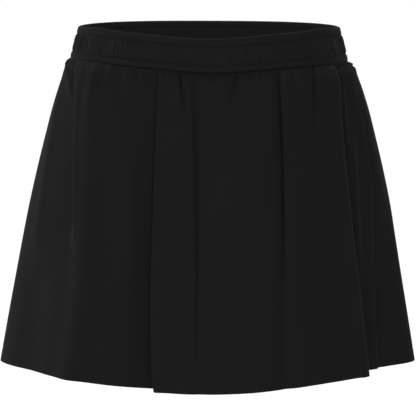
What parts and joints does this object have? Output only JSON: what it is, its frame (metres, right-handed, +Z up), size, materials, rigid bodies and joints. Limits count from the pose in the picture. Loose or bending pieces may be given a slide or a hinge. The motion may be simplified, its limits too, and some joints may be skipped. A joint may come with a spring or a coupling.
{
  "type": "skirt",
  "caption": "Short pull-on skirt, gathered into a ruched elastic waistband, standing open as if worn.",
  "frame": {"origin": "middle of the waistband ring, half way up it, where the wearer's waist holds the skirt up", "axes": "+Z up, front faces -Y, +X is the wearer's left"},
  "size_m": [0.4476, 0.3057, 0.371],
  "materials": {
    "skirt_cloth": "matte black plain-woven cloth with a faint sheen where it faces the light",
    "waistband_cloth": "the same matte black cloth, doubled over hidden elastic and drawn up into fine ruches"
  },
  "bodies": {
    "root": {"skirt_front": "skirt_cloth", "skirt_back": "skirt_cloth", "waistband": "waistband_cloth"}
  },
  "joints": []
}
